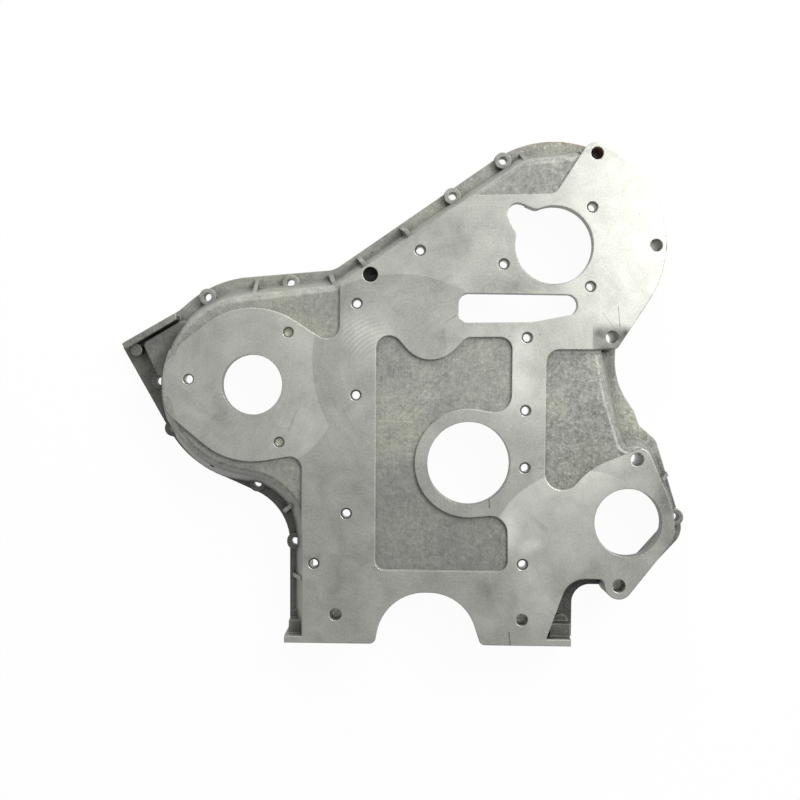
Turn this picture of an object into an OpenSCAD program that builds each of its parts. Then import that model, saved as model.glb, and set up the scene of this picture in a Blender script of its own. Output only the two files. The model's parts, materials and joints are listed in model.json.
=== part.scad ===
// Timing cover: one die-cast case, seen from its machined face, with an open gear chamber behind.
// Origin on the idler bore axis at the machined face, +Z out of that face, millimetres.

/* [Case] */
// overall depth from machined face to front flange face
depth = 56; // [50:1:62]
// thickness of the back plate under the machined face
plate_t = 12; // [11:0.5:14]
// how far the cast pockets lie below the machined face
recess = 3; // [2:0.5:4]
// how far the cast walls lean out where they meet the flange
draft_w = 8.5; // [6:0.5:9]
// width of the rounded shoulder along the cast pockets
shoulder_w = 6; // [4:0.5:7]
// height of the rounded shoulder
shoulder_t = 6.5; // [4:0.5:8]
// how far the gusset ribs end below the cast pockets
rib_drop = 7; // [5:0.5:10]
// thickness of the gusset ribs
rib_t = 3.5; // [2.5:0.5:5]
// thickness of the front flange
flange_t = 9; // [7:0.5:11]

/* [Bores] */
// idler bore diameter
idler_d = 68; // [60:0.5:72]
// width of the machined ring around the idler bore
idler_ring_w = 10.5; // [9:0.5:12]
// camshaft bore position to the right of the idler
cam_x = 67.7; // [67:0.1:68.5]
// camshaft bore position above the idler
cam_y = 180.3; // [179.5:0.1:181]
// camshaft bore diameter
cam_d = 64.5; // [58:0.5:68]
// radius of the relief beside the camshaft bore
cam_relief_r = 8.7; // [8:0.1:9.5]
// injection pump bore position to the right of the idler
pump_x = -178.7; // [-179.5:0.1:-178]
// injection pump bore position above the idler
pump_y = 62.2; // [61.5:0.1:63]
// injection pump bore diameter
pump_d = 49.5; // [44:0.5:54]
// injection pump screw circle diameter
pump_pcd = 104.5; // [102:0.5:107]
// injection pump screw hole diameter
pump_hole_d = 7; // [6:0.1:8]
// mouth diameter of the injection pump screw holes
pump_mouth_d = 9; // [8.4:0.2:10]
// hydraulic pump bore position to the right of the idler
hyd_x = 131.4; // [131:0.1:132]
// hydraulic pump bore position above the idler
hyd_y = -46.9; // [-47.5:0.1:-46.5]
// hydraulic pump bore diameter
hyd_d = 55.5; // [50:0.5:58]
// hydraulic pump screw circle diameter
hyd_pcd = 104.8; // [104:0.2:106]
// hydraulic pump screw hole diameter
hyd_hole_d = 10.8; // [9:0.1:11]

/* [Screw holes] */
// mouth diameter of the block screw holes
screw_mouth_d = 9.4; // [8.4:0.2:10]
// through diameter of the block screw holes
screw_d = 6.6; // [6:0.2:7.4]
// depth of the countersunk mouth
screw_mouth_t = 1.6; // [1:0.1:3]
// diameter of the long through holes
long_d = 10.4; // [9:0.1:11]
// diameter of the hole beside the right pocket
side_hole_d = 10; // [8:0.2:11]
// mouth diameter of the stepped hole
step_mouth_d = 12.4; // [11:0.2:14]
// depth of the stepped hole's mouth
step_mouth_t = 9; // [7:0.5:11]
// narrow diameter of the stepped hole
step_d = 5.8; // [5:0.2:7]
// diameter of the blind holes in the feet
foot_hole_d = 9.8; // [8:0.1:11]
// depth of the blind holes in the feet
foot_hole_t = 22; // [15:1:24]
// diameter of the front cover screw holes in the lugs
lug_hole_d = 6.6; // [5:0.2:7]
// radius of the lugs
lug_r = 7; // [6:0.5:8]
// height of the lugs from the front face
lug_h = 17; // [13:1:20]
// depth of the blind holes in the two foot lugs
lug_blind_t = 9; // [7:1:10]
// depth of the two blind injection pump screw holes
pump_blind_t = 8; // [6:1:12]
// depth of the blind hydraulic pump screw hole
hyd_blind_t = 24; // [20:1:30]
// depth of the stepped hole's narrow part
step_t = 15; // [13:0.5:18]

/* [Feet] */
// how far the sump face lies below the idler axis
sump_y = 149; // [147:0.5:160]
// thickness of the rail that closes the bottom
rail_t = 5.5; // [4.5:0.5:7]
// radius of the crankshaft notch
notch_r = 39.5; // [37:0.5:41]

/* [Hidden] */
$fn = 64;
eps = 1;
// how far a straight run passes inside the arcs that it joins, so that they cross
nip = 0.02;
// how much higher a profile lies along a run than round an arc, so that their edges cross one at a time
lap = 0.05;

// rounds of the outlines are [x, y, radius], anticlockwise; a radius below zero is a hollow round
cam_lobe = [71.5, 182];
pump_pad_r = 63;
pump_pad_boss_r = 27.5;
pump_angles = [56, 176, 296];
hyd_angle = 82.5;
rail_y = -sump_y;
notch_l = [-34.5, rail_y + 3];
notch_rr = [-31, rail_y + 3];
notch_edge_r = 5.5;
ring_r = idler_d / 2 + idler_ring_w;
cam_at = [cam_x, cam_y];
relief_dir = 140;
relief_out = 7;
fillet_up = [113, 7];
fillet_side = [169.6, 8.5];
wall_low = -depth + flange_t / 2;
lean_top = -recess - 1;
lean_in = 0.35;
pump_boss_at = [-231, 67];
boss_w = 8;

plate_rounds = [
  [cam_lobe.x, cam_lobe.y, 88], [101, 255, 10], [80, 265.5, -10.5], [50.5, 230.5, 20.5],
  [-118.5, 170, -25.5], [-178.5, 62, 74], [-187, -63.5, -51], [-132.5, rail_y + 2.5, 2.5],
  foot_corner(notch_l, -notch_r - notch_edge_r - 0.2),
  [notch_l.x, notch_l.y, -notch_r], [notch_rr.x, notch_rr.y, -notch_r],
  foot_corner(notch_rr, notch_r + notch_edge_r + 1.6),
  [62, rail_y + 2, 2], [97, -113, -19.5], [108.5, -97.5, -4], [124.5, -98.5, 11.5],
  [153.5, -55, 15.5], [95.5, -53.5, 74], [140, 4.5, 10], [133, 22, -7.5], [230.5, 87.5, -120],
  [110.5, 92.5, -3], [118.5, 99, 3.5]
];

chamber_rounds = [
  [cam_lobe.x, cam_lobe.y, 80.5], round_at(cam_lobe, 55, 72.6, 8), [50.5, 230.5, 13],
  [-118.5, 170, -33], [-178.5, 62, 67], [-187, -63.5, -58],
  [-123, rail_y - 38.5, 7], [49, rail_y - 36, 7], [97, -113, -27],
  [141, -72, 7], [156, -52, 9], [95.5, -53.5, 70],
  [129, -6, 11.5], [133, 22, -15], [230.5, 87.5, -127.5], [107.5, 98.5, -7.5]
];

flange_rounds = [
  [cam_lobe.x, cam_lobe.y, 90], [-121.5, 180.5, -20.5], [-178.5, 66.5, 87.5], [-247, 128, -4],
  [-288.5, 93, 3.5], [-178.5, 65, 84.5], [-197, -72, -48.5], [-145, rail_y + 4, 2.5], [87.5, rail_y + 4, 3],
  [106, -118, -15.5], [115, -106.5, -4], [129.5, -102, 10.5], [164, -53, 18.5], [148.5, 12.5, 13.5],
  [153.5, 38.5, -9.5], [135, 41.5, 7], [185.5, 88, -61], [131.5, 101.5, -6.5]
];

pocket_mid = [
  [24.5, 94, 10], [0.5, 95.5, 8], [-32.5, 111, -26.5], [-66.5, 93, 11], [-67.5, -80, 8.5],
  [24, -79.5, 9], round_at([0, 0], -72, ring_r + 15.4, 14), [0, 0, -ring_r],
  round_at([0, 0], 70.5, ring_r + 15.4, 14.5)
];
pocket_right = [[172, 95.5, 0], [74, 83, 11.5], [77, -6.5, 14.5], [133, -49.5, -56], [189, 34, 0]];
pocket_top = [[-26.5, 219, 0], [61.5, 233.5, 11.5], [99, 271.5, 0], [-27.5, 289.5, 0]];
pocket_left_top = [
  [-108, 181.5, 0], [-280.5, 179.5, 0], [-279, 62, 0], [-178.5, 62, -pump_pad_r], [-118.5, 111.5, 11]
];
pocket_left_low = [
  [-136.5, -78, 0], [-147, -6.5, 10], [-178.5, 62, -pump_pad_r], [-279, 62.5, 0], [-276.5, -80, 0]
];
slot_rounds = [[79, 131, 8.5], [-1.5, 131, 8.5], [-1.5, 124, 8.5], [45.5, 165.5, 49]];

// relief of the camshaft bore: a round tip, with a hollow round on either side where it runs into the bore
relief_rounds = [
  round_at(cam_at, fillet_up[0], cam_d / 2 - 0.3, 0),
  round_at(cam_at, fillet_up[0], cam_d / 2 + fillet_up[1], -fillet_up[1]),
  round_at(cam_at, relief_dir, cam_d / 2 + relief_out, cam_relief_r),
  round_at(cam_at, fillet_side[0], cam_d / 2 + fillet_side[1], -fillet_side[1]),
  round_at(cam_at, fillet_side[0], cam_d / 2 - 0.3, 0)
];

screws = [
  [-42.2, 174.2], [26.6, 163.9], [98.5, 211.6], [97.9, 146.4], [-93.5, 129.9], [-93.4, 54.7],
  [-99.9, -42.5], [-125.9, -83.8], [46.5, 103.8], [46, 43.9], [46.1, -3.1], [45.2, -82.3]
];
long_holes = [[102, 256], [151.4, 181]];
side_hole = [116, 105.3];
step_hole = [-82.8, 153.9];
step_off = [2, -1];
foot_holes = [[-107.6, rail_y + 23.6], [45.4, rail_y + 21.2]];
lugs = [
  [-260, 64.4], [-220.5, 135.9], [-150.6, 148.7], [-15.2, 223.7], [27, 254.2],
  [176, -44.3], [-248, 25], [-143.6, -69.1], [-176.1, -20.6]
];
foot_lugs = [[80.2, rail_y + 14.6], [-139.9, rail_y + 16.6]];

// gusset ribs are [x, y, angle of the outward direction, length]
ribs = [
  [-179.1, 134, 90, 17], [-113, 147, 116, 11], [-89, 164, 124, 9], [-53.3, 190, 124, 9],
  [44.7, 249, 100, 12], [160, -12, 22, 11], [-211, -4, 244, 8],
  [-147, -38, 222, 10], [-135, -97.4, 180, 11]
];

// outward direction of the straight run from round a to round b
function run_dir(a, b) =
  let (v = [b.x - a.x, b.y - a.y])
  atan2(v.y, v.x) - acos(max(-1, min(1, (a.z - b.z) / norm(v))));

function turn_of(r, a0, a1) =
  let (t = r >= 0 ? (a1 - a0 + 720) % 360 : -((a0 - a1 + 720) % 360))
  abs(t) > 350 ? 0 : t;

function on(c, a, r) = [c.x + r * cos(a), c.y + r * sin(a)];

// the round at the foot's corner beside the notch
function foot_corner(c, away) = [c.x + away, rail_y + notch_edge_r, notch_edge_r];

// a round of radius r, set a distance away from c
function round_at(c, a, away, r) = [c.x + away * cos(a), c.y + away * sin(a), r];

function next(c, i) = c[(i + 1) % len(c)];

function last(c, i) = c[(i + len(c) - 1) % len(c)];

// what an arc of radius r holds from direction a0 through turn: cut off by its chord, or a pie when wide
module slice(c, r, a0, turn) {
  over = 2 * acos(1 - nip / abs(r)) * sign(turn);
  a = (r < 0 ? a0 + 180 : a0) - over;
  t = turn + 2 * over;
  near = abs(r) * 1.05;
  far = near / cos(t / 4);
  wide = abs(t) > 170;
  intersection() {
    translate([c.x, c.y])
      circle(r = abs(r));
    polygon([
      wide ? [c.x, c.y] : on(c, a, abs(r) - nip),
      on(c, a, near),
      for (k = [1 : 3]) on(c, a + t * k / 4, far),
      on(c, a + t, near),
      if (!wide) on(c, a + t, abs(r) - nip)
    ]);
  }
}

// region inside rounds joined by straight runs, with true arcs
module outline(c) {
  n = len(c) - 1;
  start = [for (i = [0 : n]) run_dir(last(c, i), c[i])];
  turn = [for (i = [0 : n]) turn_of(c[i].z, start[i], run_dir(c[i], next(c, i)))];
  difference() {
    union() {
      polygon([
        for (i = [0 : n])
          for (a = c[i].z == 0 ? [0] : [0, 1])
            on(c[i], start[i] + a * turn[i], c[i].z - sign(c[i].z) * nip)
      ]);
      for (i = [0 : n])
        if (c[i].z > 0) slice(c[i], c[i].z, start[i], turn[i]);
    }
    for (i = [0 : n])
      if (c[i].z < 0) slice(c[i], c[i].z, start[i], turn[i]);
  }
}

module slab(z0, z1)
  translate([0, 0, z0])
    linear_extrude(height = z1 - z0)
      children();

// cast zones that reach the edge of the plate
module edge_pockets() {
  outline(pocket_right);
  outline(pocket_top);
  difference() {
    union() {
      outline(pocket_left_top);
      outline(pocket_left_low);
    }
    pump_boss();
  }
}

module cast_body()
  difference() {
    union() {
      slab(wall_low, 0) outline(plate_rounds);
      cast_edges(wall_profile);
    }
    slab(-recess, eps) outline(pocket_mid);
    slab(-recess, eps) edge_pockets();
    intersection() {
      slab(-recess - 2 * shoulder_t, eps / 2) edge_pockets();
      cast_edges(shoulder_profile, true);
    }
  }

// wall profiles are [distance outwards from the plate's edge, height]
wall_profile = [[-3, wall_low + 20], [-lean_in, lean_top], [draft_w, wall_low], [-3, wall_low]];
shoulder_profile = [
  [-shoulder_w - 2, eps], [-shoulder_w - 2, -recess + 0.5],
  for (a = [22.5 : 22.5 : 67.5]) [shoulder_w * (sin(a) - 1), -recess - shoulder_t * (1 - cos(a))],
  [0.25 * shoulder_w, -recess - 1.15 * shoulder_t], [10, -recess - 1.15 * shoulder_t], [10, eps]
];

// a profile swept along the edges of the plate that stay cast
module cast_edges(profile, cut = false) {
  for (i = [2 : 6]) sweep(plate_rounds, i, profile, cut);
  for (i = [16 : 20]) sweep(plate_rounds, i, profile, cut);
}

// a profile swept round one round of an outline and along the run to the next; the ends pass into each other
module sweep(c, i, profile, cut) {
  a = c[i];
  b = next(c, i);
  dir = run_dir(a, b);
  start = run_dir(last(c, i), a);
  turn = turn_of(a.z, start, dir);
  over = (a.z > 0) != cut ? 2 * acos(1 - nip / abs(a.z)) : 0;
  translate([a.x, a.y, 0])
    rotate([0, 0, (a.z > 0 ? start : dir + 180) - over])
      rotate_extrude(angle = abs(turn) + 2 * over)
        polygon([for (p = profile) [max(0.4, abs(a.z) + sign(a.z) * p[0]), p[1]]]);
  from = on(a, dir, a.z - sign(a.z) * nip);
  to = on(b, dir, b.z - sign(b.z) * nip);
  v = to - from;
  before = (a.z < 0) != cut ? 3 * sqrt(2 * abs(a.z) * nip) : 0;
  after = (b.z < 0) != cut ? 3 * sqrt(2 * abs(b.z) * nip) : 0;
  translate([to.x, to.y, 0])
    rotate([0, 0, atan2(v.y, v.x) - 90])
      translate([0, after, 0])
        rotate([90, 0, 0])
          linear_extrude(height = norm(v) + before + after)
            polygon([for (p = profile) [p[0], p[1] + lap]]);
}

module pump_boss()
  translate(pump_boss_at)
    circle(r = pump_pad_boss_r);

module gear_chamber()
  slab(-depth - eps, -plate_t) outline(chamber_rounds);

module flange_rim()
  translate([0, 0, -depth])
    linear_extrude(height = flange_t) {
      outline(flange_rounds);
      for (p = concat(lugs, foot_lugs))
        translate([p.x, p.y])
          circle(r = lug_r + 0.5);
    }

module post(p, r, z0, z1)
  translate([p.x, p.y, z0])
    cylinder(r = r, h = z1 - z0);

module rib(p)
  translate([p[0], p[1], wall_low])
    rotate([0, 0, p[2]])
      rotate([90, 0, 0])
        translate([0, 0, -rib_t / 2])
          linear_extrude(height = rib_t)
            polygon([
              [-6, 0], [p[3], 0], [p[3], flange_t / 2 + 2],
              [2, depth - flange_t / 2 - recess - rib_drop], [-6, depth - flange_t / 2 - recess - rib_drop]
            ]);

module bottom_rail()
  for (x = [
    [-149.5, notch_l.x - notch_r - notch_edge_r - 12],
    [notch_rr.x + notch_r + notch_edge_r + 14, 86]
  ])
    translate([x[0], rail_y, -depth])
      cube([x[1] - x[0], rail_t, depth]);

module left_ear() {
  slab(-depth + 2, -depth + 34)
    outline([[-286, 92.5, 1.5], [-246, 116.5, 1.5], [-246, 119, 1.5], [-287.5, 94.5, 1.5]]);
  slab(-depth + 2, -depth + 26)
    outline([[-268, 94, 4], [-258, 71, 3], [-238, 80, 3], [-239, 109, 6]]);
  post([-279, 90], 5, -depth + 2, -depth + 24);
}

module foot_blocks() {
  translate([-147, rail_y + 1, -depth + 2])
    cube([18, 15, 34]);
  translate([70, rail_y + 1, -depth + 2])
    cube([17, 15, 34]);
}

module outside() {
  cast_body();
  flange_rim();
  bottom_rail();
  left_ear();
  foot_blocks();
  for (p = concat(lugs, foot_lugs)) post(p, lug_r, wall_low, -depth + lug_h);
  for (p = ribs) rib(p);
}

module inside() {
  for (p = screws) post(p, 8, -plate_t - 5, -plate_t + eps);
  for (p = foot_holes) post(p, 9, -plate_t - 14, -plate_t + eps);
  for (p = long_holes) post(p, 10.5, -depth, -plate_t + eps);
  for (s = [0, 180]) post(hyd_screw(s), 11, -depth, -plate_t + eps);
  post(side_hole, 10, -26, -plate_t + eps);
  post(step_hole, 10, -plate_t - 8, -plate_t + eps);
  post([0, 0], ring_r, -plate_t - 8, -plate_t + eps);
  post([cam_x, cam_y], cam_d / 2 + boss_w, -plate_t - 5, -plate_t + eps);
  post([pump_x, pump_y], pump_pcd / 2 + 9, -plate_t - 4, -plate_t + eps);
  post([hyd_x, hyd_y], hyd_d / 2 + boss_w, -plate_t - 5, -plate_t + eps);
}

function hyd_screw(s) = [
  hyd_x + hyd_pcd / 2 * cos(hyd_angle + s), hyd_y + hyd_pcd / 2 * sin(hyd_angle + s)
];

function pump_screw(a) = [pump_x + pump_pcd / 2 * cos(a), pump_y + pump_pcd / 2 * sin(a)];

module hole(p, d, z0 = -depth - eps, z1 = eps)
  translate([p.x, p.y, z0])
    cylinder(d = d, h = z1 - z0);

// mouth of a screw hole, drawn past the face at the same slope
module countersink(p, d, mouth_d) {
  slope = (mouth_d - d) / screw_mouth_t;
  translate([p.x, p.y, -screw_mouth_t])
    cylinder(d1 = d, d2 = mouth_d + slope * eps, h = screw_mouth_t + eps);
}

module openings() {
  hole([0, 0], idler_d);
  hole([cam_x, cam_y], cam_d);
  slab(-depth - eps, eps) outline(relief_rounds);
  hole([pump_x, pump_y], pump_d);
  hole([hyd_x, hyd_y], hyd_d);
  hole(pump_screw(pump_angles[1]), pump_hole_d);
  for (i = [0, 2]) hole(pump_screw(pump_angles[i]), pump_hole_d, -pump_blind_t);
  for (a = pump_angles) countersink(pump_screw(a), pump_hole_d, pump_mouth_d);
  hole(hyd_screw(0), hyd_hole_d);
  hole(hyd_screw(180), hyd_hole_d, -hyd_blind_t);
  for (p = screws) {
    hole(p, screw_d);
    countersink(p, screw_d, screw_mouth_d);
  }
  for (p = long_holes) hole(p, long_d);
  hole(side_hole, side_hole_d);
  hole(step_hole, step_mouth_d, -step_mouth_t);
  hole(step_hole + step_off, step_d, -step_t);
  for (p = foot_holes) hole(p, foot_hole_d, -foot_hole_t);
  for (p = lugs) hole(p, lug_hole_d, -depth - eps, -depth + lug_h + eps);
  for (p = foot_lugs) hole(p, lug_hole_d, -depth - eps, -depth + lug_blind_t);
  slab(-depth - eps, eps) outline(slot_rounds);
}

module timing_cover()
  color([0.72, 0.72, 0.7])
    difference() {
      union() {
        difference() {
          outside();
          gear_chamber();
        }
        inside();
      }
      openings();
    }

timing_cover();
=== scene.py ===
"""Looks of a cast aluminium timing cover, seen square on from its milled face."""
import json
import math

import bpy
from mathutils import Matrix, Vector


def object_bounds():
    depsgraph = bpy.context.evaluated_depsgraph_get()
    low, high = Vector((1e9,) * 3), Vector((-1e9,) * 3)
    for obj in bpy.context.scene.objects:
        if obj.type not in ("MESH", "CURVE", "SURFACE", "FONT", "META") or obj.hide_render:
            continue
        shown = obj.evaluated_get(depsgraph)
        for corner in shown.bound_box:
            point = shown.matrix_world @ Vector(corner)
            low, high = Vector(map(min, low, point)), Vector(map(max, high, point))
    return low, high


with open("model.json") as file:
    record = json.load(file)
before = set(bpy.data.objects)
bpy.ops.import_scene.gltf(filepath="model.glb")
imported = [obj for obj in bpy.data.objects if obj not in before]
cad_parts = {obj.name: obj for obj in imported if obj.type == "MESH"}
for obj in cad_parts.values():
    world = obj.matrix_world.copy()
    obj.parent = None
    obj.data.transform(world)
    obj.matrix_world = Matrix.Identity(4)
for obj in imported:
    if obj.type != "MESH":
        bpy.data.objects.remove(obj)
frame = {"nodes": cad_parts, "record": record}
cad_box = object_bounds()
scene = bpy.context.scene

MM = 0.001
FULL_TURN = 2 * math.pi

# camera square on to the milled face, over the middle of the picture
CAMERA_AT = (-57.1 * MM, 51.2 * MM, 1400 * MM)
PICTURE_ROLL = math.radians(0.8)
PICTURE_WIDTH = 656 * MM
SENSOR = 36.0

# studio, in metres: half the floor's width, its gap below the part, and how white the camera sees it
FLOOR_HALF = 4.0
FLOOR_GAP = 0.2 * MM
FLOOR_WHITE = 0.96
PAPER = (0.9, 0.9, 0.9)
WHITE = (1.0, 1.0, 1.0)
ROOM_TINT = (1.0, 1.0, 0.99)
ROOM_STRENGTH = 0.35
SEEN_RAYS = ("Is Camera Ray", "Is Glossy Ray", "Is Transmission Ray")

# bores whose rims stay dull, from the frame: x, y, radius in millimetres
BORES = {
    mount["name"]: (mount["pos_m"][0] / MM, mount["pos_m"][1] / MM, mount["dims"]["r_mm"])
    for mount in frame["record"]["mounts"] if mount["kind"] == "bore"}

# places on the case, in millimetres from the idler axis: x, y
PUMP = BORES["pump_bore"][:2]
PUMP_BOSS = (-231.0, 66.5)
CAM_LOBE = (71.5, 182.0)
SIDE_HOLE = (116.0, 105.3)
TOP_HOLE = (102.0, 256.0)
STEP_HOLE = (-82.8, 153.9)

# drilled holes with bright walls: radius, middles
BLOCK_SCREWS = (3.3, [
    (-42.2, 174.2), (26.6, 163.9), (98.5, 211.6), (97.9, 146.4), (-93.5, 129.9), (-93.4, 54.7),
    (-99.9, -42.5), (-125.9, -83.8), (46.5, 103.8), (46.0, 43.9), (46.1, -3.1), (45.2, -82.3)])
PUMP_SCREWS = (3.5, [(-149.5, 105.5), (-230.8, 65.8), (-155.8, 15.2)])
FOOT_SCREWS = (4.9, [(-107.6, -125.4), (45.4, -127.8)])
SIDE_SCREWS = (5.0, [SIDE_HOLE])
LOBE_SCREWS = (5.2, [(151.4, 181.0)])
HYDRAULIC_SCREWS = (5.4, [(138.2, 5.1), (124.6, -98.9)])
DRILLED = [BLOCK_SCREWS, PUMP_SCREWS, FOOT_SCREWS, SIDE_SCREWS, LOBE_SCREWS, HYDRAULIC_SCREWS]

# passes of the face mill: middle of the cutter's circle and its radius
LEFT_PASS = ((-12.1, 85.4), 117.4)
TOP_PASS = ((-58.3, 42.7), 111.9)
LOWER_PASS = ((92.8, -81.3), 77.0)
PUMP_PASS = (PUMP, 71.5)
# half the width over which a pass fades at its edge: the long passes, the pads around the pumps
PASS_EDGE = 0.5
PAD_EDGE = 0.6
# painted sheen on a pass: how much lighter it is all over (below 0 darker), how much more at its edge, and
# how far from the edge that begins
PUMP_LIGHT = (0.05, 0.16, 60)
TOP_LIGHT = (0.02, 0.07, 40)
HYDRAULIC_LIGHT = (0.20, 0.20, -45)
UNDER_TOP_LIGHT = (0.0, -0.10, -30)
LEFT_LIGHT = (0.0, -0.04, -60)
# middles of the cutter's lines on the pump pad and at the top, and the spacing of the lines
PUMP_LINES = (-270.0, 90.0)
TOP_LINES = (10.0, 60.0)
LINE_PITCH = 2.3
LINE_SHARE = 0.06
# grain of the cutter's streaks for each millimetre: across its lines, along them
STREAK_GRAIN = (0.45, 0.012)
STREAK_NOISE = (1.0, 3.0, 0.65, 0.0)
# a patch with a fan of wider lines: middle of the lines, their spacing, and where the patch fades
FAN_LINES = (-66.0, 70.0)
FAN_PITCH = 3.4
FAN_PATCH = [((-88.0, 104.0), 26, 6)]

# Zones of the case, each a list of fades that overlap. A fade runs along an axis in millimetres, by how far
# the surface faces up, or away from a point, and has the place where it is nothing and where it is full.
TOP_PART = [("y", 112, 118)]
UNDER_TOP = [("y", 116, 124)]
LEFT_PART = [("x", -60, -100)]
LOW_FACE = [("y", 50, -40)]
LOW_SKIN = [("y", 50, -50)]
RIGHT_SKIN = [("x", 10, 90)]
RIGHT_POCKET = [("x", 70, 100), ("y", 60, 20)]
HYDRAULIC_PART = [("y", 40, 30)]
HYDRAULIC_SHEEN_ZONE = [("y", -92, -64), ("x", 140, 96)]
COLUMN = [("x", 16.2, 16.9), ("x", 70, 60), ("y", -3.4, -2.6), ("y", 112, 90)]
COLUMN_TOP = [("y", 20, 60)]
STAIN = [("x", 100.0, 100.6), (SIDE_HOLE, 23, 12), ("y", 118, 108)]
POCKET_FLOOR = [("z", -3.6, -3.2), ("up", 0.8, 0.95)]
FLAT = [("up", 0.9, 0.97)]
SKIN_BY_PUMP = [(PUMP, 67.0, 67.6), (PUMP_BOSS, 22.0, 22.6), ("x", -205, -206)]
MILLED = [("z", -0.30, -0.12), ("up", 0.7, 0.9)]
COUNTERSINK = [("z", -1.8, -1.7), ("z", -0.02, -0.10), ("up", 0.15, 0.3), ("up", 0.97, 0.9)]
BELOW_MOUTH = [("z", -1.4, -1.6), ("up", -0.6, -0.3)]
DEEP = [("z", -5, -9)]
SHOULDER = [("up", 0.25, 0.5), ("up", 0.985, 0.93), ("z", -14, -8)]
OILY = [(STEP_HOLE, 6.6, 6.3), ("z", -0.15, -0.35), ("z", -14.6, -14.2)]
RUSTY_HOLE = [(TOP_HOLE, 6.8, 5.6), ("z", -0.05, -0.4)]
RUSTY_RIM = [(CAM_LOBE, 85, 89), ("y", 246, 256), ("x", 30, 50), ("x", 98, 92)]
# walls with painted shade or, below 0, painted light: zone, share
WALL_SHADE_PAINTED = [
    ([("x", -120, -190), ("y", 118, 96)], 0.38), ([("x", 40, 50), ("y", -85, -98)], 0.45),
    ([("x", 120, 135), ("y", 0, 20)], -0.5)]
# shares of a hole's radius, squared, over which its wall and a bore's rim fade
HOLE_WALL = (1.25, 1.1)
BORE_RIM = (1.2, 1.15)

# colours of bare metal, of cast skin, of oil and of rust
ALUMINIUM = (0.995, 1.0, 0.915)
OLIVE = (0.985, 1.0, 0.84)
OIL = (0.012, 0.012, 0.010)
RUST = (0.30, 0.16, 0.09)
BLACK = (0.0, 0.0, 0.0)
# brightness of the milled face, the cast skin and the drilled walls
FACE_TONE = 0.32
SKIN_TONE = 0.25
DRILLED_TONE = 0.5

# noises: scale for each millimetre, detail, roughness, warp
NOISES = {
    "fine": (0.55, 2.0, 0.6, 0.0), "cloud": (0.016, 2.0, 0.5, 0.0), "wipe": (0.045, 4.0, 0.6, 0.6),
    "speck": (0.36, 1.0, 0.5, 0.0), "tarnish": (0.03, 5.0, 0.62, 1.2), "mottle": (0.12, 4.0, 0.68, 0.9),
    "vein": (0.22, 3.0, 0.55, 1.5), "rust": (0.16, 4.0, 0.6, 0.0)}
FLAKE_SCALE = 0.30
# grain of the cast skin's brushed streaks for each millimetre: along x, y and z
BRUSHED_GRAIN = (0.8, 0.06, 0.3)
BRUSHED_NOISE = (1.0, 3.0, 0.6, 0.0)
# where a noise begins to count as a mark and where it counts in full
TARNISH_AT = (0.06, 0.25)
SPECK_AT = (0.27, 0.30)
PIT_AT = (0.25, 0.28)
FLECK_AT = (0.06, 0.20)
VEIN_AT = (0.03, 0.0)
RUST_AT = (-0.06, 0.14)
# a noise turned into a share of the surface: times, plus
FLECKED = (3, 0.35)
FLECKED_PER_MM = 0.004
BROKEN = (4, 0.7)
OLIVE_SHARE = (5, 0.3)

# how much each texture lightens the milled face, and how high it stands in millimetres
FACE_SHADES = {
    "marks": 0.17, "fan": 0.12, "fine": 0.46, "cloud": 0.42, "wipe": 0.62, "tarnish": -0.14, "speck": -0.40}
FACE_HEIGHTS = {"marks": 0.02, "fan": 0.003, "fine": 0.02, "speck": -0.05}
# the same for the cast skin, whose grain is coarser on the right
SKIN_GRAIN = {"fine": 0.7, "flake": 0.20, "mottle": 0.70}
SKIN_SHADES = {"cloud": 0.6, "wipe": 0.5, "brushed": 0.5, "fleck": 0.45, "vein": 0.14, "pit": -0.5}
SKIN_HEIGHTS = {"fine": 0.24, "flake": 0.05, "mottle": 0.2, "vein": 0.05, "pit": -0.25}
COARSER = 0.7
# how much darker or lighter some zones are: painted shade low down, in the right pocket and in the
# countersinks, painted light on the column and the shoulders, and a real stain
LOW_FACE_PAINTED_SHADE = 0.12
LOW_SKIN_PAINTED_SHADE = 0.27
RIGHT_POCKET_PAINTED_SHADE = 0.14
COLUMN_PAINTED_LIGHT = 0.04
COLUMN_TOP_PAINTED_LIGHT = 0.10
STAIN_DARKER = 0.66
STAIN_WIPED = 1.5
SHOULDER_PAINTED_LIGHT = 0.3
COUNTERSINK_PAINTED_SHADE = 0.6
RUST_IN_HOLE = 0.9
RUST_ON_RIM = 0.6

# soft lighter and darker patches on the milled face, partly smudges and wipes, partly painted highlights and
# shade: from, to, width, how much lighter
PATCHES = [
    ((40.6, 100.0), (41.3, 55.0), 20, 0.27), ((33.0, -62.0), (36.0, -47.0), 13, 0.32),
    ((47.0, -69.0), (55.0, -66.0), 9, 0.42), ((53.0, -44.0), (65.0, -54.0), 4, -0.18),
    ((121.0, 3.0), (106.0, -6.0), 15, 0.12), ((15.0, -100.0), (19.0, -112.0), 14, -0.22),
    ((163.0, -8.0), (166.0, -62.0), 18, -0.36), ((-40.0, 176.0), (24.0, 186.0), 34, -0.08),
    ((-86.0, 111.0), (-75.0, 97.0), 30, 0.42), ((-114.0, 17.0), (-101.0, -7.0), 13, 0.06),
    ((-208.0, 52.0), (-196.0, 20.0), 16, -0.06), ((-120.0, -110.0), (-60.0, -112.0), 24, 0.03),
    ((100.0, -84.0), (140.0, -80.0), 18, -0.06), ((28.0, 30.0), (30.0, 52.0), 11, 0.10),
    ((10.0, 147.0), (64.0, 147.0), 18, -0.24), ((60.0, -112.0), (52.0, -98.0), 28, 0.36),
    ((5.0, 108.0), (30.0, 110.0), 14, 0.10)]
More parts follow.
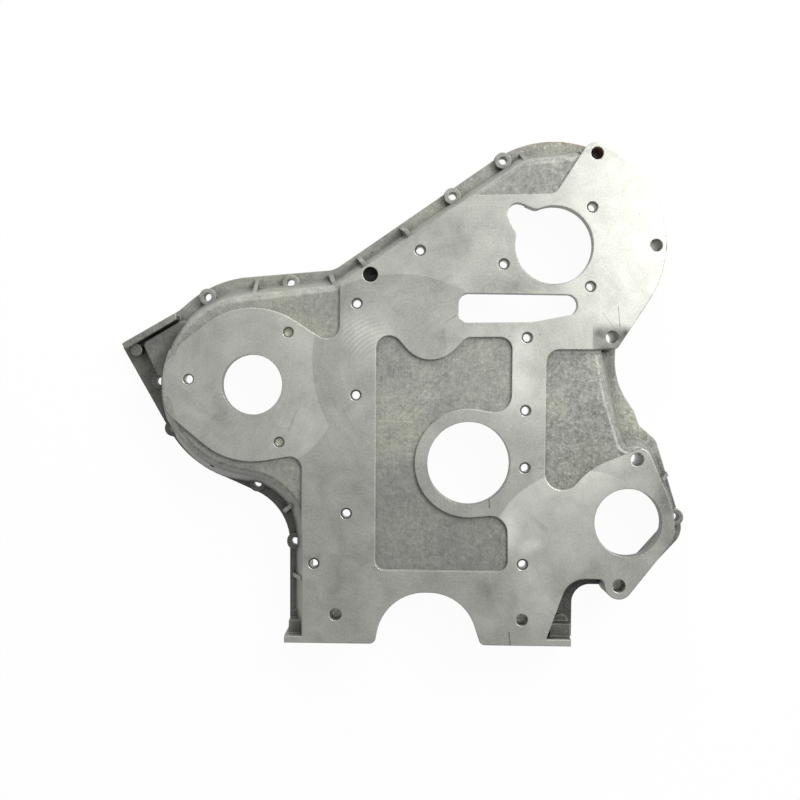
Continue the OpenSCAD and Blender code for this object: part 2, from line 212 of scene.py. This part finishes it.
# scuffs on the milled face: from, to, width, how dark
SCUFFS = [
    ((120.8, 130.0), (122.4, 114.0), 0.7, 0.40), ((108.6, 124.6), (116.9, 113.7), 0.6, 0.30),
    ((34.8, -138.0), (36.0, -148.5), 0.9, 0.45), ((17.0, -29.5), (17.6, -36.0), 0.9, 0.5),
    ((-20.0, 116.0), (-12.5, 121.0), 0.7, 0.3), ((-142.0, 41.0), (-148.0, 24.0), 0.8, 0.22),
    ((56.0, -3.0), (73.0, -4.0), 0.5, 0.35)]
SCUFF_CORE = 0.3
# flow marks raised on the floors of the pockets: from, to, how clear
FLOW_MARKS = [
    ((-59.0, 35.0), (-10.0, 86.0), 1.0), ((-56.0, 31.0), (-14.0, 75.0), 1.0),
    ((-52.0, 29.0), (-22.0, 61.0), 0.8), ((-73.0, 80.5), (-30.0, 80.0), 0.4),
    ((-76.0, 53.0), (-12.0, 52.5), 0.4), ((-76.0, 33.5), (-47.0, 33.0), 0.9),
    ((-76.0, 22.0), (-46.0, 21.5), 0.5), ((0.0, 58.0), (34.0, 57.0), 0.3),
    ((80.0, 12.0), (126.0, 17.0), 0.4)]
FLOW_WIDTH = (0.9, 0.2)
FLOW_SHADE = 0.30
FLOW_HEIGHT = 0.15

# edges: rounding in metres, how far a normal turns there, and the painted highlight that a lean to the light
# gives them and the painted shade that a lean away gives them
EDGE_ROUND = 1.1 * MM
EDGE_TURN = (0.985, 0.88)
LIGHT_FROM = (0.65, 0.75)
LEAN_LIGHT = (0.06, 0.40)
LEAN_DARK = (-0.06, -0.40)
EDGE_PAINTED_LIGHT = 0.34
EDGE_PAINTED_SHADE = 0.12
RIM_DARKER = 0.08
# painted shade in sheltered corners: reach in metres, and how open a corner is where the painted shade begins
# and is full
SHELTER_REACH = 12 * MM
CORNER_SHADE_SPAN = (0.55, 0.12)
DEEP_SHADE_SPAN = (0.85, 0.35)
CORNER_PAINTED_SHADE = 0.4
DEEP_PAINTED_SHADE = 0.35
EDGE_SAMPLES = 4
SHELTER_SAMPLES = 3

# gloss: how metallic the skin is, what the face and the drilled walls add, and what an edge takes off
SKIN_METAL = 0.15
FACE_METAL = 0.70
DRILLED_METAL = 0.6
EDGE_METAL = 0.8
# how rough the skin is, what rust, oil and marks add, and what the face and an edge take off
SKIN_ROUGH = 0.47
DULL_ROUGH = 0.3
MARKS_ROUGH = 2
FACE_SMOOTH = 0.15
EDGE_SMOOTH = 0.1
BUMP = 0.75


class Field:
    """One output in a node tree. Arithmetic on values adds Math nodes."""

    def __init__(self, tree, socket):
        self.tree = tree
        self.socket = socket

    def maths(self, operation, *others):
        return self.tree.node("ShaderNodeMath", {"operation": operation}, [self, *others])

    def __add__(self, other):
        return self.maths("ADD", other)

    __radd__ = __add__

    def __sub__(self, other):
        return self.maths("SUBTRACT", other)

    def __rsub__(self, other):
        return self.tree.node("ShaderNodeMath", {"operation": "SUBTRACT"}, [other, self])

    def __mul__(self, other):
        return self.maths("MULTIPLY", other)

    __rmul__ = __mul__

    def __truediv__(self, other):
        return self.maths("DIVIDE", other)

    def __abs__(self):
        return self.maths("ABSOLUTE")

    def least(self, other):
        return self.maths("MINIMUM", other)

    def most(self, other):
        return self.maths("MAXIMUM", other)

    def share(self, times=1, plus=0):
        """The value, stretched and raised, kept between 0 and 1."""
        if (times, plus) != (1, 0):
            return (self * times + plus).share()
        return self.most(0).least(1)

    def root(self):
        return self.most(0).maths("SQRT")

    def waves(self, pitch):
        """Even waves along the value, from -1 to 1."""
        return (self * (FULL_TURN / pitch)).maths("SINE")

    def rise(self, none, full):
        """0 up to none, 1 from full on, smooth between; falls when full is less than none."""
        if full < none:
            return 1 - self.rise(full, none)
        return self.tree.node(
            "ShaderNodeMapRange", {"interpolation_type": "SMOOTHSTEP"},
            {"Value": self, "From Min": none, "From Max": full, "To Min": 0.0, "To Max": 1.0})


class Tree:
    """The nodes of a material or of the world, all made by one method."""

    MIX_FACTOR, MIX_FIRST, MIX_SECOND, MIXED_COLOUR = 0, 6, 7, 2

    def __init__(self, owner):
        owner.use_nodes = True
        self.owner = owner
        self.nodes = owner.node_tree.nodes
        self.links = owner.node_tree.links
        self.nodes.clear()

    def node(self, kind, settings=None, inputs=None, output=0):
        """Make a node from its type, its settings and its sockets' values or links, and give one output."""
        made = self.nodes.new(kind)
        for key, value in (settings or {}).items():
            setattr(made, key, value)
        pairs = enumerate(inputs) if isinstance(inputs, (list, tuple)) else (inputs or {}).items()
        for key, value in pairs:
            socket = made.inputs[key]
            if isinstance(value, Field):
                self.links.new(value.socket, socket)
            elif socket.type == "RGBA":
                socket.default_value = (*value, 1.0)
            else:
                socket.default_value = value
        return Field(self, made.outputs[output]) if made.outputs else None

    def part(self, field, index):
        """One of the three numbers of a vector."""
        return self.node("ShaderNodeSeparateXYZ", None, [field], index)

    def vector(self, x, y, z):
        return self.node("ShaderNodeCombineXYZ", None, [x, y, z])

    def noise(self, place, scale, detail, rough, warp):
        """An even noise, about 0 on average."""
        return self.node(
            "ShaderNodeTexNoise", None,
            {"Vector": place, "Scale": scale, "Detail": detail, "Roughness": rough, "Distortion": warp}) - 0.5

    def cells(self, place, scale):
        """A random number for each flake of a broken pattern, about 0 on average."""
        shade = self.node(
            "ShaderNodeTexVoronoi", None, {"Vector": place, "Scale": scale, "Randomness": 1.0}, "Color")
        return self.part(shade, 0) - 0.5

    def mix(self, factor, first, second):
        """Blend two colours; either may be a fixed colour."""
        return self.node(
            "ShaderNodeMix", {"data_type": "RGBA"},
            {self.MIX_FACTOR: factor, self.MIX_FIRST: first, self.MIX_SECOND: second}, self.MIXED_COLOUR)

    def seen(self):
        """1 for what the camera, a mirror or glass sees, and 0 for light on its way to a dull surface."""
        camera_ray, mirror_ray, glass_ray = (
            self.node("ShaderNodeLightPath", None, None, ray) for ray in SEEN_RAYS)
        return camera_ray.most(mirror_ray).most(glass_ray)

    def surface(self, shader, output="ShaderNodeOutputMaterial"):
        """End the tree in a shader."""
        self.node(output, None, {"Surface": shader})
        return self.owner


class Places:
    """Where a point of the case lies, in millimetres, and how far it is from marks on the face."""

    ARC_RADIUS = 100.0

    def __init__(self, tree):
        spot = tree.node("ShaderNodeTexCoord", None, None, "Object")
        self.mm = tree.node("ShaderNodeVectorMath", {"operation": "SCALE"}, {0: spot, "Scale": 1 / MM})
        self.x, self.y, self.z = (tree.part(self.mm, i) for i in range(3))
        self.normal = tree.node("ShaderNodeNewGeometry", None, None, "Normal")
        self.up = tree.part(self.normal, 2)

    def square(self, at):
        """Square of the distance from a point of the face."""
        dx, dy = self.x - at[0], self.y - at[1]
        return dx * dx + dy * dy

    def off(self, at):
        """Distance from a point of the face."""
        return self.square(at).root()

    def round(self, at):
        """Length along an arc about a point, for marks that follow it."""
        return (self.y - at[1]).maths("ARCTAN2", self.x - at[0]) * self.ARC_RADIUS

    def off_line(self, start, end):
        """Distance from a straight stretch on the face."""
        run = (end[0] - start[0], end[1] - start[1])
        square = run[0] ** 2 + run[1] ** 2
        dx, dy = self.x - start[0], self.y - start[1]
        along = ((dx * run[0] + dy * run[1]) / square).share()
        ex, ey = dx - along * run[0], dy - along * run[1]
        return (ex * ex + ey * ey).root()

    def past(self, cut):
        """Distance outside a pass of the face mill, negative inside it."""
        middle, radius = cut
        return self.off(middle) - radius

    def inside(self, holes):
        """Square of the share of a radius from the nearest of some holes."""
        nearest, *others = (self.square((x, y)) / radius ** 2 for x, y, radius in holes)
        for other in others:
            nearest = nearest.least(other)
        return nearest

    def zone(self, fades):
        """1 where all the fades of a zone are full, 0 where one of them is nothing."""
        ways = {"x": self.x, "y": self.y, "z": self.z, "up": self.up}
        first, *others = (
            (ways[way] if isinstance(way, str) else self.off(way)).rise(none, full)
            for way, none, full in fades)
        return math.prod(others, start=first)


def pass_sheen_painted(past, all_over, at_edge, begins):
    """Painted sheen on a pass of the cutter that grows towards its edge."""
    return past.rise(begins, 0) * at_edge + all_over


def add_up(weights, fields):
    """Sum of some fields, each by its weight."""
    return sum(fields[name] * weight for name, weight in weights.items())


def milled_face(tree, at, grain):
    """Brightness of the milled face, with its painted sheen, highlights and shade, and the height of its
    marks.
    """
    past_left, past_top, past_lower = (at.past(cut) for cut in (LEFT_PASS, TOP_PASS, LOWER_PASS))
    pump = past_left.rise(-PASS_EDGE, PASS_EDGE) * at.past(PUMP_PASS).rise(PAD_EDGE, -PAD_EDGE)
    upper = past_top.rise(-PASS_EDGE, PASS_EDGE) * at.zone(TOP_PART)
    hydraulic = past_lower.rise(PAD_EDGE, -PAD_EDGE) * at.zone(HYDRAULIC_PART)
    between = (1 - pump) * (1 - upper) * (1 - hydraulic)
    column = between * at.zone(COLUMN)

    cuts = [(between, LEFT_PASS[0]), (pump, PUMP_LINES), (upper, TOP_LINES), (hydraulic, LOWER_PASS[0])]
    across = sum(cut * at.off(middle) for cut, middle in cuts)
    along = sum(cut * at.round(middle) for cut, middle in cuts)
    lie = tree.vector(across * STREAK_GRAIN[0], along * STREAK_GRAIN[1], 0.0)
    streaks = tree.noise(lie, *STREAK_NOISE)
    textures = dict(
        grain,
        marks=streaks + across.waves(LINE_PITCH) * LINE_SHARE,
        fan=at.off(FAN_LINES).waves(FAN_PITCH) * at.zone(FAN_PATCH),
        tarnish=grain["tarnish"].rise(*TARNISH_AT),
        speck=grain["speck"].rise(*SPECK_AT))

    tone = (
        1.0 + add_up(FACE_SHADES, textures)
        # painted sheen on the cutter's passes, lighter or darker than the face between them
        + pump * pass_sheen_painted(past_left, *PUMP_LIGHT)
        + upper * pass_sheen_painted(past_top, *TOP_LIGHT)
        + hydraulic * pass_sheen_painted(past_lower, *HYDRAULIC_LIGHT) * at.zone(HYDRAULIC_SHEEN_ZONE)
        + between * pass_sheen_painted(past_top, *UNDER_TOP_LIGHT) * at.zone(UNDER_TOP)
        + between * pass_sheen_painted(past_left, *LEFT_LIGHT) * at.zone(LEFT_PART)
        # painted highlight on the column between the passes, more towards the top
        + column * (COLUMN_PAINTED_LIGHT + at.zone(COLUMN_TOP) * COLUMN_TOP_PAINTED_LIGHT))
    # patches: partly smudges and wipes, partly painted highlights and shade
    for start, end, width, lighter in PATCHES:
        tone = tone + at.off_line(start, end).rise(width, 0) * (lighter + grain["wipe"] * abs(lighter))
    for start, end, width, dark in SCUFFS:
        tone = tone - at.off_line(start, end).rise(width, width * SCUFF_CORE) * dark
    # painted shade: the face darker towards the bottom
    tone = tone * (1 - at.zone(LOW_FACE) * LOW_FACE_PAINTED_SHADE)
    tone = tone * (1 - at.zone(STAIN) * (STAIN_DARKER + grain["wipe"] * STAIN_WIPED))
    return tone, add_up(FACE_HEIGHTS, textures)


def cast_skin(tree, at, grain):
    """Brightness of the cast skin, with painted shade low down, and the height of its grain."""
    lie = tree.vector(*(way * fine for way, fine in zip((at.x, at.y, at.z), BRUSHED_GRAIN)))
    flecked = (grain["cloud"] * FLECKED[0] + FLECKED[1] + at.x * FLECKED_PER_MM).share()
    textures = dict(
        grain,
        flake=tree.cells(at.mm, FLAKE_SCALE),
        brushed=tree.noise(lie, *BRUSHED_NOISE),
        fleck=grain["fine"].rise(*FLECK_AT) * flecked,
        vein=abs(grain["vein"]).rise(*VEIN_AT),
        pit=grain["speck"].rise(*PIT_AT))

    coarse = 1 + at.zone(RIGHT_SKIN) * COARSER
    tone = 1.0 + add_up(SKIN_GRAIN, textures) * coarse + add_up(SKIN_SHADES, textures)
    # painted shade: darker towards the bottom and in the lower part of the right pocket
    tone = tone * (1 - at.zone(LOW_SKIN) * LOW_SKIN_PAINTED_SHADE - at.zone(RIGHT_POCKET) * RIGHT_POCKET_PAINTED_SHADE)
    height = add_up(SKIN_HEIGHTS, textures)
    broken = at.zone(POCKET_FLOOR) * grain["mottle"].share(*BROKEN)
    for start, end, clear in FLOW_MARKS:
        ridge = at.off_line(start, end).rise(*FLOW_WIDTH) * broken
        tone = tone + ridge * (FLOW_SHADE * clear)
        height = height + ridge * (FLOW_HEIGHT * clear)
    return tone, height


def aluminium_casting():
    """Cast aluminium with a milled face, bored walls and rough pockets, told apart by where they lie."""
    tree = Tree(bpy.data.materials.new("cast_aluminium"))
    at = Places(tree)
    grain = {name: tree.noise(at.mm, *numbers) for name, numbers in NOISES.items()}
    face_tone, face_height = milled_face(tree, at, grain)
    skin_tone, skin_height = cast_skin(tree, at, grain)

    # edges, found by rounding the normal; those that lean to the light get a painted highlight, those that
    # lean away painted shade
    rounded = tree.node("ShaderNodeBevel", {"samples": EDGE_SAMPLES}, {"Radius": EDGE_ROUND})
    turn = tree.node("ShaderNodeVectorMath", {"operation": "DOT_PRODUCT"}, [rounded, at.normal], "Value")
    edge = turn.rise(*EDGE_TURN)
    lean = sum(tree.part(rounded, i) * share for i, share in enumerate(LIGHT_FROM)) * at.zone(FLAT)
    painted_edge_light = lean.rise(*LEAN_LIGHT) * EDGE_PAINTED_LIGHT - lean.rise(*LEAN_DARK) * EDGE_PAINTED_SHADE

    # what each point belongs to
    milled = at.zone(MILLED) * (1 - at.zone(SKIN_BY_PUMP))
    holes = [(x, y, radius) for radius, middles in DRILLED for x, y in middles]
    drilled = at.inside(holes).rise(*HOLE_WALL) * at.zone(BELOW_MOUTH)
    dull_rim = at.inside(BORES.values()).rise(*BORE_RIM)
    deep = at.zone(DEEP)

    # brightness
    open_sky = tree.node(
        "ShaderNodeAmbientOcclusion", {"samples": SHELTER_SAMPLES}, {"Distance": SHELTER_REACH}, "AO")
    # painted shade in sheltered corners, and more on deep surfaces
    painted_shelter_shade = open_sky.rise(*CORNER_SHADE_SPAN) * CORNER_PAINTED_SHADE + open_sky.rise(*DEEP_SHADE_SPAN) * deep * DEEP_PAINTED_SHADE
    # painted shade, or below 0 painted light, on some walls
    painted_wall_shade = deep * sum(at.zone(wall) * share for wall, share in WALL_SHADE_PAINTED)
    skin = skin_tone * SKIN_TONE * (1 - painted_shelter_shade) * (1 - painted_wall_shade)
    # painted light on the shoulders
    skin = skin * (1 + at.zone(SHOULDER) * SHOULDER_PAINTED_LIGHT)
    tone = skin + (face_tone * FACE_TONE - skin) * milled
    # painted highlight and shade on the edges, left off the drilled walls and bore rims, whose edges are a
    # little darker
    tone = tone + painted_edge_light * (1 - drilled) * (1 - dull_rim) - edge * dull_rim * RIM_DARKER
    tone = tone + drilled * (DRILLED_TONE - tone)
    # painted shade in the countersinks
    tone = tone * (1 - at.zone(COUNTERSINK) * COUNTERSINK_PAINTED_SHADE)

    # colour, with rust in the top hole and oil in the stepped hole
    oily = at.zone(OILY)
    rusty_rim = at.zone(RUSTY_RIM) * grain["rust"].rise(*RUST_AT)
    rust = (at.zone(RUSTY_HOLE) * RUST_IN_HOLE + rusty_rim * RUST_ON_RIM).least(1)
    dull = (rust + oily).least(1)
    tint = tree.mix(grain["cloud"].share(*OLIVE_SHARE) * (1 - milled), ALUMINIUM, OLIVE)
    colour = tree.mix(tone.share(), BLACK, tint)
    colour = tree.mix(rust, colour, RUST)
    colour = tree.mix(oily, colour, OIL)

    # gloss and grain
    metallic = SKIN_METAL + (milled * FACE_METAL + drilled * DRILLED_METAL) * (1 - edge * EDGE_METAL)
    metallic = metallic * (1 - dull)
    roughness = (
        SKIN_ROUGH + dull * DULL_ROUGH + face_height * milled * MARKS_ROUGH
        - milled * FACE_SMOOTH - edge * (1 - drilled) * EDGE_SMOOTH)
    height = skin_height * (1 - milled) + face_height * milled
    bump = tree.node(
        "ShaderNodeBump", None, {"Strength": BUMP, "Distance": MM, "Height": height, "Normal": rounded})
    metal = tree.node(
        "ShaderNodeBsdfPrincipled", None,
        {"Base Color": colour, "Metallic": metallic, "Roughness": roughness, "Normal": bump})
    return tree.surface(metal)


def white_floor():
    """White to the camera and to reflections, with a faint trace of the part's shadow."""
    tree = Tree(bpy.data.materials.new("white_floor"))
    paper = tree.node("ShaderNodeBsdfDiffuse", None, {"Color": PAPER})
    glow = tree.node("ShaderNodeEmission", None, {"Color": WHITE, "Strength": 1.0})
    return tree.surface(tree.node("ShaderNodeMixShader", None, [tree.seen() * FLOOR_WHITE, paper, glow]))


def studio():
    """A white room to the camera and to reflections, with softer light on everything else."""
    tree = Tree(bpy.data.worlds.new("studio"))
    room = tree.node("ShaderNodeBackground", None, {"Color": ROOM_TINT, "Strength": ROOM_STRENGTH})
    white = tree.node("ShaderNodeBackground", None, {"Color": WHITE, "Strength": 1.0})
    pick = tree.node("ShaderNodeMixShader", None, [tree.seen(), room, white])
    scene.world = tree.surface(pick, "ShaderNodeOutputWorld")


def soft_lamp(name, at, aim, size, watts, mirrored=True):
    """A round lamp of some width, aimed at a point; one that isn't mirrored stays out of reflections."""
    data = bpy.data.lights.new(name, "AREA")
    data.shape = "DISK"
    data.size = size
    data.energy = watts
    lamp = bpy.data.objects.new(name, data)
    scene.collection.objects.link(lamp)
    lamp.location = at
    lamp.visible_glossy = mirrored
    lamp.rotation_euler = (Vector(aim) - Vector(at)).to_track_quat("-Z", "Y").to_euler()


def floor():
    """A wide floor just under the part."""
    low = cad_box[0][2] - FLOOR_GAP
    corners = [(x * FLOOR_HALF, y * FLOOR_HALF, low) for x, y in ((-1, -1), (1, -1), (1, 1), (-1, 1))]
    mesh = bpy.data.meshes.new("floor")
    mesh.from_pydata(corners, [], [(0, 1, 2, 3)])
    mesh.materials.append(white_floor())
    made = bpy.data.objects.new("floor", mesh)
    scene.collection.objects.link(made)


def camera():
    """The photograph's viewpoint, straight down on the milled face."""
    data = bpy.data.cameras.new("camera")
    data.sensor_width = SENSOR
    data.lens = SENSOR * CAMERA_AT[2] / PICTURE_WIDTH
    made = bpy.data.objects.new("camera", data)
    scene.collection.objects.link(made)
    made.location = CAMERA_AT
    made.rotation_euler = (0.0, 0.0, PICTURE_ROLL)
    scene.camera = made


case = frame["nodes"]["timing_cover"]
case.data.materials.clear()
case.data.materials.append(aluminium_casting())

camera()
floor()
studio()
soft_lamp("window", at=(0.9, 0.9, 1.5), aim=(0.0, 0.05, 0.0), size=0.9, watts=22)
soft_lamp("overhead", at=(0.50, 0.34, 1.5), aim=(0.17, 0.18, 0.0), size=0.3, watts=3.2)
soft_lamp("top_fill", at=(-0.2, 1.6, 0.8), aim=(-0.1, 0.1, 0.0), size=0.5, watts=15, mirrored=False)

scene.view_settings.view_transform = "Standard"
